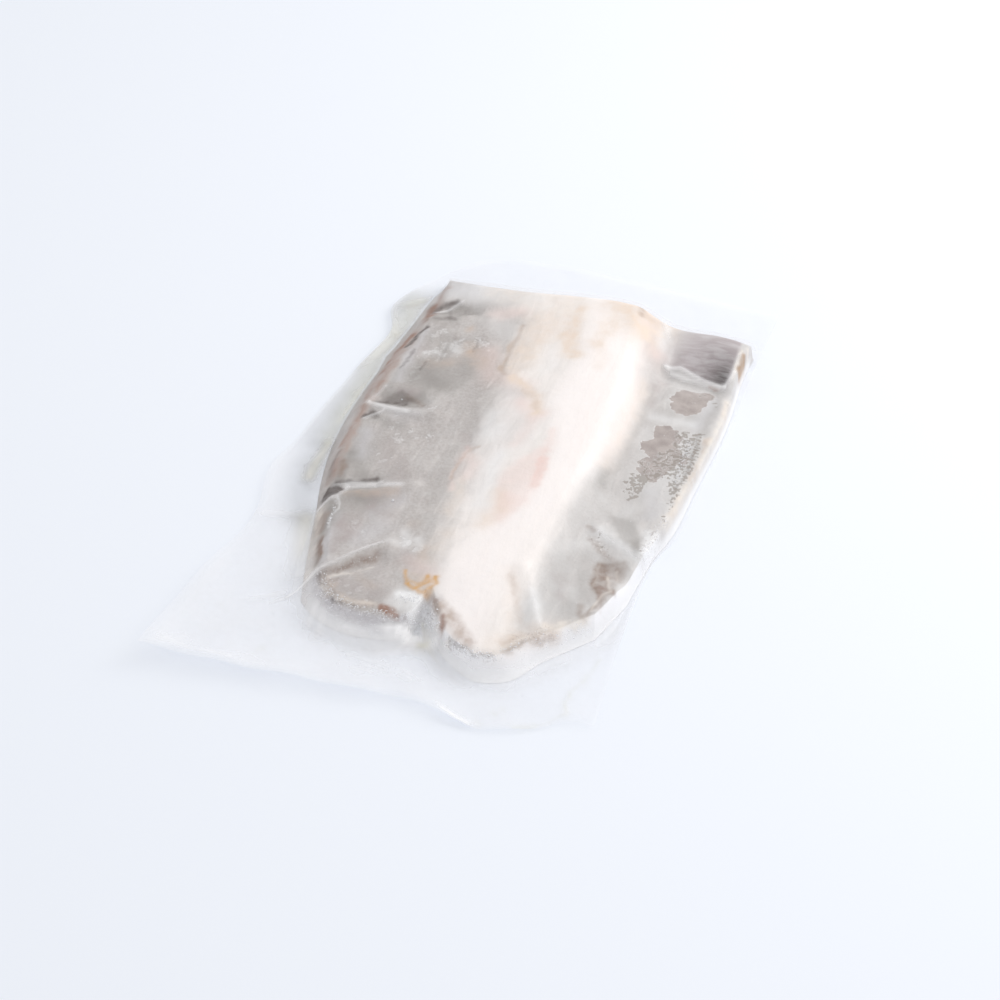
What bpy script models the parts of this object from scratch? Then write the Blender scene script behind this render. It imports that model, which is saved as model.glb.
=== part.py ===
"""An opened milkfish belly, frozen and sealed in a clear vacuum pouch.

It is one closed solid. The pouch film is shrunk on to the fish, so its top shows
the belly's thick ridge of fat, the two thin flanks and the creases pressed into
them. Round the cut edge of the fish the film drops to the table, and it runs out
as a thin welded margin that lifts at the front.

Sizes are in millimetres, and the finished mesh is scaled to metres. +Y runs
along the fish to its straight cut, +X is across it and +Z is up. The origin is
on the table under the middle of the pouch.
"""

import math

import bmesh
import bpy
import numpy as np

MM = 0.001  # metres

# The margin is both films of the pouch, welded together.
MARGIN_THICKNESS = 0.7

# The pouch's ribs, side by side. Each runs from the rim of the fish's top face,
# down its leaning cut side, and out to the edge of the pouch:
# (rim x, rim y, lean of the cut side, edge x, edge y, lift of the edge).
LEFT_RIBS = (
    (-34, -84, 6, -84, -136, 8),
    (-41, -64, 6, -81, -92, 3),
    (-47, -44, 6, -75, -54, 1),
    (-52, -27, 6, -79.5, -31, 1),
    (-56, 3, 7, -77, -4, 0),
    (-55, 40, 7, -71, 40, 1),
    (-51.5, 64, 7, -66, 68, 2),
    (-50, 82, 6, -71, 86, 2),
    (-50, 102, 4, -57, 117, 0),
)
BACK_RIBS = (
    (-50, 102, 4, -57, 117, 0),
    (-38, 102, 3, -43, 130, 0),
    (-18, 101.5, 3, -22, 135.1, 0),
    (24, 101, 3, 30, 134, 1),
    (80, 95, 2, 84, 132, 0),
)
RIGHT_RIBS = (
    (65, -68, 3, 80, -116, 1),
    (69, -55, 2.5, 77, -78, 1),
    (72.5, -38, 1.5, 75, -39, 0),
    (76, -10, 2, 81, -9, 0),
    (78, 8, 2, 81, 12, 0),
    (80.5, 46, 2, 83, 56, 0),
    (79, 80, 2, 83, 102, 0),
    (80, 95, 2, 84, 132, 0),
)
FRONT_RIBS = (
    (-34, -84, 6, -84, -136, 8),
    (-26, -90.5, 5, -58, -134, 6),
    (-9, -93, 5, -28, -131, 5),
    (2, -88.5, 4, 0, -128.5, 4),
    (5.5, -78, 4, 8, -127, 3),
    (10, -85, 4, 15, -126.5, 3),
    (21, -97, 4, 34, -129, 2),
    (30, -101, 4, 44, -130, 1),
    (38, -99, 4, 57, -125, 1),
    (49, -86, 3, 69, -118, 1),
    (65, -68, 3, 80, -116, 1),
)

# The flanks, and the ridge of fat that bends along the belly. The ridge falls
# off steeply to the right, and gently to the left over the gut lining, where it
# is wider by RIDGE_LEFT_SPREAD for each millimetre towards the back.
FLANK_THICKNESS = 8.3
CREST_X = 37
CREST_BEND = 10
CREST_MIDDLE_Y = 10
CREST_REACH = 100
RIDGE_HEIGHT = 9.5
RIDGE_PEAK_Y = 45
RIDGE_REACH = 150
RIDGE_LEFT_WIDTH = 33
RIDGE_LEFT_SPREAD = 0.12
RIDGE_RIGHT_WIDTH = 12

# The flank's back right corner is rolled over on itself.
ROLL_X = 70
ROLL_Y = 91
ROLL_HALF_LENGTH = 20
ROLL_HALF_WIDTH = 13
ROLL_HEIGHT = 5.5

# Creases that the film pressed into the flanks, as (start, end, width, height).
# A height below zero is a hollow, and one above it a pinched-up pleat.
CREASES = (
    ((-54, 81), (-36, 85), 4, -2.4),
    ((-54, 72), (-36, 79), 3, 1.0),
    ((-51, 21), (-36, 23), 4.5, -2.4),
    ((-56, 14), (-28, 16), 3, 1.4),
    ((-54, -36), (-36, -28), 4, -2.2),
    ((-52, -43), (-20, -26), 3, 1.2),
    ((-38, -86), (-19, -67), 4, -1.8),
    ((-40, -78), (-17, -60), 3, 1.4),
    ((50, 70), (80, 67), 4.5, -2.6),
    ((52, 80), (50, -4), 3.5, -1.2),
    ((36, -60), (47, -82), 3.5, 1.2),
    ((54, -27), (73, -34), 3.5, 1.4),
    ((60, -44), (72, -48), 5, -1.8),
)

# The number of faces across and along the fish, and of rows down its cut side
# and out over the margin.
ACROSS = 30
ALONG = 44
WALL_ROWS = 4
MARGIN_ROWS = 5
WAVE_HEIGHT = 0.5
WAVE_LENGTH = 27
WELD_DISTANCE = 0.001


def rib_at(ribs, share):
    """The rib at this share of the way along a side, on a smooth curve through its ribs."""
    ribs = np.array(ribs, float)
    steps = np.hypot(*np.diff(ribs[:, :2], axis=0).T)
    knots = np.concatenate([[0], np.cumsum(steps)]) / steps.sum()
    slopes = np.gradient(ribs, knots, axis=0)
    i = min(int(np.searchsorted(knots, share, side="right")) - 1, len(ribs) - 2)
    span = knots[i + 1] - knots[i]
    t = (share - knots[i]) / span
    return (
        (2 * t**3 - 3 * t**2 + 1) * ribs[i]
        + (t**3 - 2 * t**2 + t) * span * slopes[i]
        + (3 * t**2 - 2 * t**3) * ribs[i + 1]
        + (t**3 - t**2) * span * slopes[i + 1]
    )


def inside_rim(across, along):
    """The point of the fish's top face at these shares of its width and length."""
    front = rib_at(FRONT_RIBS, across)[:2]
    back = rib_at(BACK_RIBS, across)[:2]
    left = rib_at(LEFT_RIBS, along)[:2]
    right = rib_at(RIGHT_RIBS, along)[:2]
    front_left, front_right = np.array(FRONT_RIBS[0][:2]), np.array(FRONT_RIBS[-1][:2])
    back_left, back_right = np.array(BACK_RIBS[0][:2]), np.array(BACK_RIBS[-1][:2])
    corners = (1 - along) * ((1 - across) * front_left + across * front_right)
    corners += along * ((1 - across) * back_left + across * back_right)
    return (1 - along) * front + along * back + (1 - across) * left + across * right - corners


def round_rim(share):
    """The rib at this share of the way round the rim, from the front left corner."""
    faces = share * 2 * (ACROSS + ALONG)
    if faces <= ACROSS:
        return rib_at(FRONT_RIBS, faces / ACROSS)
    if faces <= ACROSS + ALONG:
        return rib_at(RIGHT_RIBS, (faces - ACROSS) / ALONG)
    if faces <= 2 * ACROSS + ALONG:
        return rib_at(BACK_RIBS, (2 * ACROSS + ALONG - faces) / ACROSS)
    return rib_at(LEFT_RIBS, (2 * ACROSS + 2 * ALONG - faces) / ALONG)


def crease_height(x, y):
    """What the creases add to the flank at this point."""
    total = 0
    for start, end, width, height in CREASES:
        run = np.subtract(end, start)
        offset = np.subtract((x, y), start)
        share = np.clip(offset @ run / (run @ run), 0, 1)
        distance = math.hypot(*(offset - share * run))
        total += height * math.exp(-((distance / width) ** 2))
    return total


def top_height(x, y):
    """The height of the film over the fish at this point."""
    crest = CREST_X - CREST_BEND * ((y - CREST_MIDDLE_Y) / CREST_REACH) ** 2
    left_width = RIDGE_LEFT_WIDTH + RIDGE_LEFT_SPREAD * y
    width = left_width if x < crest else RIDGE_RIGHT_WIDTH
    ridge = RIDGE_HEIGHT * (1 - ((y - RIDGE_PEAK_Y) / RIDGE_REACH) ** 2)
    ridge *= math.exp(-(((x - crest) / width) ** 2))
    roll_across = (x - ROLL_X) / ROLL_HALF_LENGTH
    roll_along = (y - ROLL_Y) / ROLL_HALF_WIDTH
    roll = ROLL_HEIGHT * math.exp(-(roll_across**2) - roll_along**2)
    return FLANK_THICKNESS + ridge + roll + crease_height(x, y)


def film_point(rib, row):
    """The place of this row of a rib, and the height of the pouch's underside there."""
    rim, lean, edge, lift = rib[:2], rib[2], rib[3:5], rib[5]
    length = math.dist(rim, edge)
    foot = rim + (edge - rim) * lean / length
    rim_height = top_height(*rim)
    if row <= WALL_ROWS:
        share = row / WALL_ROWS
        point = rim + (foot - rim) * share
        fall = 0.5 + 0.5 * math.cos(math.pi * share)
        return (*point, MARGIN_THICKNESS + (rim_height - MARGIN_THICKNESS) * fall), 0
    share = (row - WALL_ROWS) / MARGIN_ROWS
    point = foot + (edge - foot) * share
    wave = 1 - math.cos(2 * math.pi * (point[0] + 0.5 * point[1]) / WAVE_LENGTH)
    room = min(length / WAVE_LENGTH, 1)
    underside = share**2 * max(0, lift + WAVE_HEIGHT * wave * room)
    return (*point, underside + MARGIN_THICKNESS), underside


def film_top():
    """The pouch's upper face, one grid over the fish and one from its rim to the pouch's edge."""
    bm = bmesh.new()
    underside = bm.verts.layers.float.new("underside")
    grid = bmesh.ops.create_grid(bm, x_segments=ACROSS, y_segments=ALONG, size=0.5)
    for vert in grid["verts"]:
        x, y = inside_rim(vert.co.x + 0.5, vert.co.y + 0.5)
        vert.co = (x, y, top_height(x, y))
    rows = WALL_ROWS + MARGIN_ROWS
    round_count = 2 * (ACROSS + ALONG)
    grid = bmesh.ops.create_grid(bm, x_segments=round_count, y_segments=rows, size=0.5)
    for vert in grid["verts"]:
        rib = round_rim(vert.co.x + 0.5)
        vert.co, vert[underside] = film_point(rib, round((0.5 - vert.co.y) * rows))
    bmesh.ops.remove_doubles(bm, verts=bm.verts, dist=WELD_DISTANCE)
    bmesh.ops.triangulate(bm, faces=bm.faces, quad_method="FIXED")
    bmesh.ops.recalc_face_normals(bm, faces=bm.faces)
    return bm


def close_pouch(bm):
    """Copies the upper face down to the pouch's underside and joins the two round the edge."""
    underside = bm.verts.layers.float["underside"]
    if sum(face.normal.z for face in bm.faces) < 0:
        bmesh.ops.reverse_faces(bm, faces=bm.faces)
    copy = bmesh.ops.duplicate(bm, geom=bm.verts[:] + bm.edges[:] + bm.faces[:])["geom"]
    for item in copy:
        if isinstance(item, bmesh.types.BMVert):
            item.co.z = item[underside]
    faces = [item for item in copy if isinstance(item, bmesh.types.BMFace)]
    bmesh.ops.reverse_faces(bm, faces=faces)
    rims = [edge for edge in bm.edges if edge.is_boundary]
    wall = bmesh.ops.bridge_loops(bm, edges=rims)["faces"]
    bmesh.ops.triangulate(bm, faces=wall)


def film_material():
    """Clear film over frosted fish, as it looks from a step away."""
    material = bpy.data.materials.new("clear_film_over_fish")
    material.use_nodes = True
    shader = material.node_tree.nodes["Principled BSDF"]
    shader.inputs["Base Color"].default_value = (0.74, 0.70, 0.68, 1)
    shader.inputs["Roughness"].default_value = 0.35
    shader.inputs["Metallic"].default_value = 0
    return material


for old in list(bpy.data.objects):
    bpy.data.objects.remove(old, do_unlink=True)

pouch_mesh = film_top()
close_pouch(pouch_mesh)
bmesh.ops.scale(pouch_mesh, vec=(MM, MM, MM), verts=pouch_mesh.verts)
mesh = bpy.data.meshes.new("belly_pouch")
pouch_mesh.to_mesh(mesh)
pouch_mesh.free()
mesh.shade_smooth()
mesh.materials.append(film_material())
bpy.context.collection.objects.link(bpy.data.objects.new("belly_pouch", mesh))
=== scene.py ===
"""The looks of an opened milkfish belly, frozen and sealed in a clear vacuum pouch."""

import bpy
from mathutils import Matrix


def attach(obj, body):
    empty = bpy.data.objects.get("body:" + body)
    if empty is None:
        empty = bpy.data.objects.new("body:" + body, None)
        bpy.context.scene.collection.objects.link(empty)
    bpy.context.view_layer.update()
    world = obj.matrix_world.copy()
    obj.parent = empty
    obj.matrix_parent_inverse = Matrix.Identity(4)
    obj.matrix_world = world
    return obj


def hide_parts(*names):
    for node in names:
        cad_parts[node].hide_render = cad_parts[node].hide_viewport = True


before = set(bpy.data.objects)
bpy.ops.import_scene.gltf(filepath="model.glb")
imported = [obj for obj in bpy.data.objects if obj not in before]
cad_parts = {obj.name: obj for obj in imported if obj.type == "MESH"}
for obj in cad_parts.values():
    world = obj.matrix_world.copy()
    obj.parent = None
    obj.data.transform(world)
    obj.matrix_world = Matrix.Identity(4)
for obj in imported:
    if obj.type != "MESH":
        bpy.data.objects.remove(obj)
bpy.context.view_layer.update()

import math
import random

import bmesh
import bpy
import numpy as np
from mathutils import Matrix, Vector, noise
from mathutils.bvhtree import BVHTree

# ---------------------------------------------------------------------------
# The floor and the view. The pack lies on a smooth white floor, lit by a wide
# soft lamp over its back right corner, and is seen from 42 degrees above.
# ---------------------------------------------------------------------------
VIEW_ELEVATION = math.radians(42)
VIEW_AZIMUTH = math.radians(19)
VIEW_DISTANCE = 0.92
VIEW_TARGET = Vector((0.0103, -0.0143, 0))
LENS, SENSOR_WIDTH = 86.4, 36
FLOOR_SIDE = 4.0
FLOOR_COLOUR = (0.835, 0.868, 0.935, 1)
FLOOR_ROUGHNESS, FLOOR_SHINE = 0.6, 0.1
SHARP_FOLD = math.radians(60)
DAYLIGHT = 0.87
LAMP_PLACE = (0.62, 0.55, 0.55)
LAMP_SIDE = 0.6
LAMP_POWER = 4.4
LAMP_COLOUR = (1, 0.985, 0.96)


def material_of(name, colour, roughness, shine=0.5):
    """A plain material, with its node tree and the shader that its patterns are linked to."""
    material = bpy.data.materials.new(name)
    material.use_nodes = True
    shader = material.node_tree.nodes["Principled BSDF"]
    shader.inputs["Base Color"].default_value = colour
    shader.inputs["Roughness"].default_value = roughness
    shader.inputs["Specular IOR Level"].default_value = shine
    return material, material.node_tree, shader


def in_scene(name, data):
    """A new object of the scene, made of this mesh, lamp or camera."""
    made = bpy.data.objects.new(name, data)
    bpy.context.scene.collection.objects.link(made)
    return made


def placed(name, bm, *materials):
    """The finished piece made of this bmesh, with its materials."""
    mesh = bpy.data.meshes.new(name)
    bm.to_mesh(mesh)
    bm.free()
    mesh.shade_smooth()
    mesh.set_sharp_from_angle(angle=SHARP_FOLD)
    for material in materials:
        mesh.materials.append(material)
    return in_scene(name, mesh)


floor_bm = bmesh.new()
bmesh.ops.create_grid(floor_bm, x_segments=1, y_segments=1, size=FLOOR_SIDE / 2)
floor_material = material_of("white_floor", FLOOR_COLOUR, FLOOR_ROUGHNESS, FLOOR_SHINE)[0]
floor = placed("floor", floor_bm, floor_material)

world = bpy.data.worlds.new("studio")
world.use_nodes = True
world.node_tree.nodes["Background"].inputs["Color"].default_value = (1, 1, 1, 1)
world.node_tree.nodes["Background"].inputs["Strength"].default_value = DAYLIGHT
bpy.context.scene.world = world
bpy.context.scene.view_settings.view_transform = "Standard"

lamp_data = bpy.data.lights.new("soft_lamp", "AREA")
lamp_data.size = LAMP_SIDE
lamp_data.energy = LAMP_POWER
lamp_data.color = LAMP_COLOUR
lamp = in_scene("soft_lamp", lamp_data)
lamp.location = LAMP_PLACE
lamp.rotation_euler = Vector(LAMP_PLACE).to_track_quat("Z", "Y").to_euler()

view_back = Vector((
    math.sin(VIEW_AZIMUTH) * math.cos(VIEW_ELEVATION),
    -math.cos(VIEW_AZIMUTH) * math.cos(VIEW_ELEVATION),
    math.sin(VIEW_ELEVATION),
))
camera_data = bpy.data.cameras.new("camera")
camera_data.lens = LENS
camera_data.sensor_width = SENSOR_WIDTH
camera = in_scene("camera", camera_data)
camera.location = VIEW_TARGET + view_back * VIEW_DISTANCE
camera.rotation_euler = (-view_back).to_track_quat("-Z", "Y").to_euler()
bpy.context.scene.camera = camera

# ---------------------------------------------------------------------------
# The belly. One frozen piece of fish, opened out flat with its inner side up:
# a thick ridge of white fat, a lining on its left, and two thin grey flanks,
# cut straight at the back and to two lobes at the front.
# ---------------------------------------------------------------------------
MM = 0.001
WELD_DISTANCE = 0.002 * MM
NEARLY = 1e-8

# Each rib runs from the rim of the fish's top face, down its leaning cut side,
# and out to the edge of the pouch, in millimetres:
# (rim x, rim y, lean of the cut side, edge x, edge y, lift of the edge).
LEFT_RIBS = (
    (-34, -84, 6, -84, -136, 8),
    (-41, -64, 6, -81, -92, 3),
    (-47, -44, 6, -75, -54, 1),
    (-52, -27, 6, -79.5, -31, 1),
    (-56, 3, 7, -77, -4, 0),
    (-55, 40, 7, -71, 40, 1),
    (-51.5, 64, 7, -66, 68, 2),
    (-50.5, 82, 6, -71, 86, 2),
    (-52, 102, 4, -57, 117, 0),
)
BACK_RIBS = (
    (-52, 102, 4, -57, 117, 0),
    (-38, 102, 3, -43, 130, 0),
    (-18, 101.5, 3, -22, 135.1, 0),
    (24, 101, 3, 30, 134, 1),
    (80, 95, 2, 84, 132, 0),
)
RIGHT_RIBS = (
    (65, -68, 3, 80, -116, 1),
    (69, -55, 2.5, 77, -78, 1),
    (72.5, -38, 1.5, 75, -39, 0),
    (76, -10, 2, 81, -9, 0),
    (78, 8, 2, 81, 12, 0),
    (80.5, 46, 2, 83, 56, 0),
    (79, 80, 2, 83, 102, 0),
    (80, 95, 2, 84, 132, 0),
)
FRONT_RIBS = (
    (-34, -84, 6, -84, -136, 8),
    (-26, -90.5, 5, -58, -134, 6),
    (-9, -93, 5, -28, -131, 5),
    (2, -88.5, 4, 0, -128.5, 4),
    (5.5, -78, 4, 8, -127, 3),
    (10, -85, 4, 15, -126.5, 3),
    (21, -97, 4, 34, -129, 2),
    (30, -101, 4, 44, -130, 1),
    (38, -99, 4, 57, -125, 1),
    (49, -86, 3, 69, -118, 1),
    (65, -68, 3, 80, -116, 1),
)

FLANK_THICKNESS = 8.3
CREST_X, CREST_BEND, CREST_MIDDLE_Y, CREST_REACH = 37, 10, 10, 100
RIDGE_HEIGHT, RIDGE_PEAK_Y, RIDGE_REACH = 9.5, 45, 150
RIDGE_LEFT_WIDTH, RIDGE_LEFT_SPREAD, RIDGE_RIGHT_WIDTH = 33, 0.12, 12
ROLL_X, ROLL_Y, ROLL_HALF_LENGTH, ROLL_HALF_WIDTH, ROLL_HEIGHT = 70, 91, 20, 13, 5.5

# The cut side on the left ends between these x, and its back starts between these y.
LEFT_SIDE_X, BACK_LEFT_Y = (-50, -30), (40, 56)
# How far the cut side leans out there, how bent it is, and how much of the room
# up to the edge of the pouch a side may take.
LEFT_SPREAD, BACK_LEFT_SPREAD = 0.8, 3.3
LEFT_BEND = 1.2
LEAN_ROOM = 0.4

# A mark is (width, strength or height, points of its path), soft across.
CREASES = (
    (4, -2.4, (-54, 81), (-36, 85)),
    (3, 1, (-54, 72), (-36, 79)),
    (4.5, -2.4, (-51, 21), (-36, 23)),
    (3, 1.4, (-56, 14), (-28, 16)),
    (4, -2.2, (-54, -36), (-36, -28)),
    (3, 1.2, (-52, -43), (-20, -26)),
    (4, -1.8, (-38, -86), (-19, -67)),
    (3, 1.4, (-40, -78), (-17, -60)),
    (4.5, -2.6, (50, 70), (80, 67)),
    (3.5, -1.2, (52, 80), (50, -4)),
    (3.5, 1.2, (36, -60), (47, -82)),
    (3.5, 1.4, (54, -27), (73, -34)),
    (5, -1.8, (60, -44), (72, -48)),
)


def rib_at(ribs, shares):
    """The ribs at these shares of the way along a side, on a smooth curve."""
    ribs = np.array(ribs, float)
    steps = np.hypot(*np.diff(ribs[:, :2], axis=0).T)
    knots = np.concatenate([[0], np.cumsum(steps)]) / steps.sum()
    slopes = np.gradient(ribs, knots, axis=0)
    i = np.clip(np.searchsorted(knots, shares, side="right") - 1, 0, len(ribs) - 2)
    span = (knots[i + 1] - knots[i])[:, None]
    t = (shares - knots[i])[:, None] / span
    return (
        (2 * t**3 - 3 * t**2 + 1) * ribs[i]
        + (t**3 - 2 * t**2 + t) * span * slopes[i]
        + (3 * t**2 - 2 * t**3) * ribs[i + 1]
        + (t**3 - t**2) * span * slopes[i + 1]
    )


def inside_rim(across, along):
    """The points at these shares of the width and length of the fish's top face."""
    front = rib_at(FRONT_RIBS, across)[:, :2]
    back = rib_at(BACK_RIBS, across)[:, :2]
    left = rib_at(LEFT_RIBS, along)[:, :2]
    right = rib_at(RIGHT_RIBS, along)[:, :2]
    u, v = across[:, None], along[:, None]
    front_corners = (1 - u) * np.array(FRONT_RIBS[0][:2]) + u * np.array(FRONT_RIBS[-1][:2])
    back_corners = (1 - u) * np.array(BACK_RIBS[0][:2]) + u * np.array(BACK_RIBS[-1][:2])
    corners = (1 - v) * front_corners + v * back_corners
    return (1 - v) * front + v * back + (1 - u) * left + u * right - corners


def round_ribs(turn, columns, rows):
    """The ribs at these shares of the way round, spaced as the edge of a grid of columns and rows."""
    faces = turn * 2 * (columns + rows)
    ribs = np.empty((len(turn), 6))
    corners = np.cumsum([0, columns, rows, columns, rows])
    sides = (FRONT_RIBS, RIGHT_RIBS, BACK_RIBS[::-1], LEFT_RIBS[::-1])
    for side, low, high in zip(sides, corners[:-1], corners[1:]):
        shares = (faces - low) / (high - low)
        here = (shares > -NEARLY) & (shares < 1 + NEARLY)
        ribs[here] = rib_at(side, np.clip(shares[here], 0, 1))
    return ribs


def down_side(ribs, reach):
    """The points of these ribs this share of the way down the cut side."""
    rims, edges = ribs[:, :2], ribs[:, 3:5]
    return rims + (edges - rims) * (ribs[:, 2] * reach / np.hypot(*(edges - rims).T))[:, None]


def marked(x, y, marks):
    """How strongly these marks show at these points. A path that ends where it starts is filled."""
    total = np.zeros(len(x))
    for width, strength, *path in marks:
        nearest = np.full(len(x), np.inf)
        inside = np.zeros(len(x), bool)
        for start, end in zip(path[:-1] or path, path[1:] or path):
            run = np.subtract(end, start)
            offset = np.stack([x, y], 1) - start
            share = np.clip(offset @ run / max(run @ run, NEARLY), 0, 1)
            nearest = np.minimum(nearest, np.hypot(*(offset - share[:, None] * run).T))
            crossed = (start[1] > y) != (end[1] > y)
            inside ^= crossed & (offset[:, 0] < run[0] * offset[:, 1] / (run[1] or 1))
        if path[0] == path[-1]:
            nearest[inside] = 0
        total += strength * np.exp(-((nearest / width) ** 2))
    return total


def rise(values, low, high):
    """A smooth step from 0 at the low value to 1 at the high one."""
    share = np.clip((values - low) / (high - low), 0, 1)
    return share**2 * (3 - 2 * share)


def off_left(x):
    """0 on the left side of the fish, and 1 on its other sides."""
    return rise(x, *LEFT_SIDE_X)


def eased(ribs, spread):
    """These ribs with sides that lean out this much more where room allows, and less so on the left."""
    lengths = np.hypot(*(ribs[:, 3:5] - ribs[:, :2]).T)
    wanted = LEFT_SPREAD + (BACK_LEFT_SPREAD - LEFT_SPREAD) * rise(ribs[:, 1], *BACK_LEFT_Y)
    wanted += (spread - wanted) * off_left(ribs[:, 0])
    more = np.minimum(wanted, LEAN_ROOM * (lengths - ribs[:, 2]))
    return np.column_stack([ribs[:, :2], ribs[:, 2] + more, ribs[:, 3:]])


def side_fall(ribs, down):
    """The share of its rim's height that a side has this share of the way down it.

    The cut side on the left is nearly straight, and the others slope away softly under the frost.
    """
    soft = off_left(ribs[:, 0])
    return (1 - soft) * (1 - down**LEFT_BEND) + soft * (0.5 + 0.5 * np.cos(math.pi * down))


def border(along, points):
    """Where a border lies at these values along it, on the line through its (along, place) points."""
    at, to = zip(*sorted(points))
    return np.interp(along, at, to)


def lumps(x, y, size, seed):
    """Smooth noise of about -1 to 1 at these points, with lumps of this size."""
    return np.array([noise.noise((a / size, b / size, seed)) for a, b in zip(x, y)])


def film_height(x, y):
    """The height of the film over the fish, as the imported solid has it."""
    offset = x - CREST_X + CREST_BEND * ((y - CREST_MIDDLE_Y) / CREST_REACH) ** 2
    width = np.where(offset < 0, RIDGE_LEFT_WIDTH + RIDGE_LEFT_SPREAD * y, RIDGE_RIGHT_WIDTH)
    ridge = RIDGE_HEIGHT * (1 - ((y - RIDGE_PEAK_Y) / RIDGE_REACH) ** 2)
    ridge *= np.exp(-((offset / width) ** 2))
    roll = ROLL_HEIGHT * np.exp(
        -(((x - ROLL_X) / ROLL_HALF_LENGTH) ** 2) - ((y - ROLL_Y) / ROLL_HALF_WIDTH) ** 2
    )
    return FLANK_THICKNESS + ridge + roll + marked(x, y, CREASES)


def wavering(x, y, *swings):
    """These points moved a little by noise, so that what is painted there has uneven outlines."""
    for size, reach, x_seed, y_seed in swings:
        x, y = x + reach * lumps(x, y, size, x_seed), y + reach * lumps(x, y, size, y_seed)
    return x, y


def grid_into(bm, columns, rows):
    """A new grid in this bmesh: its vertices, and their shares across and along."""
    verts = bmesh.ops.create_grid(bm, x_segments=columns, y_segments=rows, size=0.5)["verts"]
    shares = np.array([vert.co[:2] for vert in verts]) + 0.5
    return verts, shares[:, 0], shares[:, 1]


def sides_into(bm, columns, rows, down_rows, spread):
    """New sides round a grid of columns and rows: their vertices, ribs and shares of the way down."""
    verts, turn, down = grid_into(bm, 2 * (columns + rows), down_rows)
    return verts, eased(round_ribs(turn, columns, rows), spread), down


def move_to(verts, points):
    """Moves the vertices to these points, given in millimetres."""
    for vert, point in zip(verts, points * MM):
        vert.co = point


def mark_with(verts, layer, values):
    """Gives the vertices these values of a layer, to paint by."""
    for vert, value in zip(verts, values):
        vert[layer] = value


def close_up(bm):
    """Welds the grids of a bmesh and fills what is left open below: the faces of that base."""
    bmesh.ops.remove_doubles(bm, verts=bm.verts, dist=WELD_DISTANCE)
    open_edges = [edge for edge in bm.edges if edge.is_boundary]
    base = bmesh.ops.edgeloop_fill(bm, edges=open_edges)["faces"]
    bmesh.ops.recalc_face_normals(bm, faces=bm.faces)
    return base


def plan_of(piece):
    """The x and y of a piece's points, in millimetres."""
    spots = np.empty(3 * len(piece.data.vertices))
    piece.data.vertices.foreach_get("co", spots)
    return spots.reshape(-1, 3)[:, 0] / MM, spots.reshape(-1, 3)[:, 1] / MM


def strength_of(piece, name):
    """A strength that a piece's points already have."""
    strengths = np.empty(len(piece.data.vertices))
    piece.data.attributes[name].data.foreach_get("value", strengths)
    return strengths


def paint(piece, name, strengths):
    """Gives a piece's points a strength that its material reads by name."""
    layer = piece.data.attributes.new(name, "FLOAT", "POINT")
    layer.data.foreach_set("value", np.clip(strengths, 0, 1))


FISH_COLUMNS, FISH_ROWS, SIDE_ROWS = 230, 310, 10
FISH_WIDTH, FISH_LENGTH = 130, 190
FISH_LEAN, FISH_SPREAD = 0.92, 4.5
FISH_BOTTOM = 0.16
FLESH_DEPTH, HIGHEST_GRAIN = 0.55, 0.35
RIM_ROUNDING, RIM_WIDTH = 0.8, 2.5

# The unevenness of the flesh, as (height, size, seed) of its lumps and its grain.
FLESH_LUMPS = ((0.15, 9, 1.5), (0.08, 3, 4.5))
# Low relief of the flesh itself: the shred of tissue and the clump of frost at
# the notch, the folds of the lining, and the cracks in the frost on the left.
FLESH_RELIEF = (
    (1.5, 0.35, (-6, -73), (-2, -78), (1, -79)),
    (2.5, 0.4, (3, -74), (5, -78)),
    (2.5, 0.35, (-5, -84), (2, -85)),
    (1.2, -0.8, (5, -80), (11, -87)),
    (0.9, -0.3, (-12, 78), (-12, 58), (-11, 49)),
    (0.9, -0.3, (-35, 66), (-37, 50)),
    (0.7, -0.3, (-27, 66), (-26, 58)),
    (0.8, -0.3, (-42, 46), (-43, 41)),
    (1.5, -0.3, (-9, 8), (-9, -20), (-7, -36)),
)


def fish_height(x, y):
    """The height of the fish's top, before its rim is rounded off."""
    grain = marked(x, y, FLESH_RELIEF)
    for height, size, seed in FLESH_LUMPS:
        grain += height * lumps(x, y, size, seed)
    return film_height(x, y) - FLESH_DEPTH + np.minimum(grain, HIGHEST_GRAIN)


belly_bm = bmesh.new()
down_layer = belly_bm.verts.layers.float.new("down")
verts, across, along = grid_into(belly_bm, FISH_COLUMNS, FISH_ROWS)
spots = inside_rim(across, along)
to_rim = np.minimum(
    np.minimum(across, 1 - across) * FISH_WIDTH, np.minimum(along, 1 - along) * FISH_LENGTH)
rounding = RIM_ROUNDING * np.clip(1 - to_rim / RIM_WIDTH, 0, 1) ** 2
move_to(verts, np.column_stack([spots, fish_height(*spots.T) - rounding]))

verts, ribs, down = sides_into(belly_bm, FISH_COLUMNS, FISH_ROWS, SIDE_ROWS, FISH_SPREAD)
side_height = fish_height(*ribs[:, :2].T) - RIM_ROUNDING - FISH_BOTTOM
heights = FISH_BOTTOM + side_height * side_fall(ribs, down)
move_to(verts, np.column_stack([down_side(ribs, FISH_LEAN * down), heights]))
mark_with(verts, down_layer, down)
for face in close_up(belly_bm):
    face.material_index = 1


def add(tree, kind, inputs, **settings):
    """The outputs of a new node with these settings, and these values or links on its inputs."""
    made = tree.nodes.new(kind)
    for name, value in settings.items():
        setattr(made, name, value)
    for name, value in inputs.items():
        if isinstance(value, bpy.types.NodeSocket):
            tree.links.new(value, made.inputs[name])
        else:
            made.inputs[name].default_value = value
    return made.outputs


def painted(tree, name):
    """The strength that was painted on a piece's points under this name."""
    return add(tree, "ShaderNodeAttribute", {}, attribute_name=name)["Fac"]


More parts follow.
